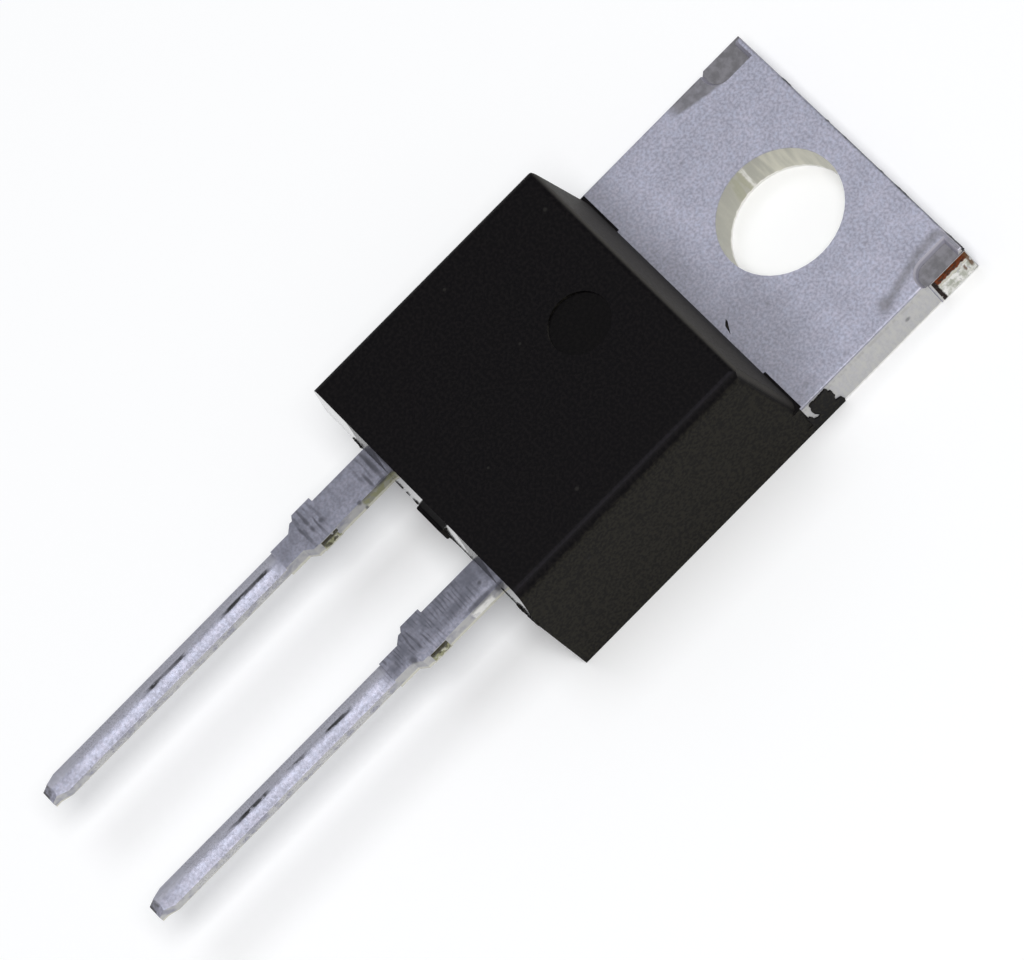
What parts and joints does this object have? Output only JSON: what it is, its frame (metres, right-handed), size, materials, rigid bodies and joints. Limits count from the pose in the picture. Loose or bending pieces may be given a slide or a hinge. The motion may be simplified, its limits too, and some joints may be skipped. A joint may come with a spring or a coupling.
{
  "type": "rectifier diode",
  "caption": "Power rectifier diode: black moulded body with draft and rounded edges on a plated screw-down tab with a mounting hole, flat leads in line at its other end.",
  "frame": {"origin": "centre of the mounting hole on the mounting plane", "axes": "+Z out of the mounting plane towards the front face, +Y from the leads to the tab's free end, +X to the right seen from the front with the tab up"},
  "size_m": [0.0101, 0.0283, 0.0045],
  "materials": {
    "epoxy": "fine-grained matte moulding compound",
    "tinned_copper": "matte tin plating with a fine mottle",
    "tinned_lead": "matte tin plating with drawn streaks",
    "silicon": "polished",
    "solder": "satin",
    "bond_wire": "drawn"
  },
  "bodies": {
    "root": {"moulded_body": "epoxy", "tab_and_cathode_lead": "tinned_copper", "anode_lead": "tinned_lead", "silicon_die": "silicon", "die_solder": "solder", "bond_wire_1": "bond_wire", "bond_wire_2": "bond_wire"}
  },
  "joints": []
}
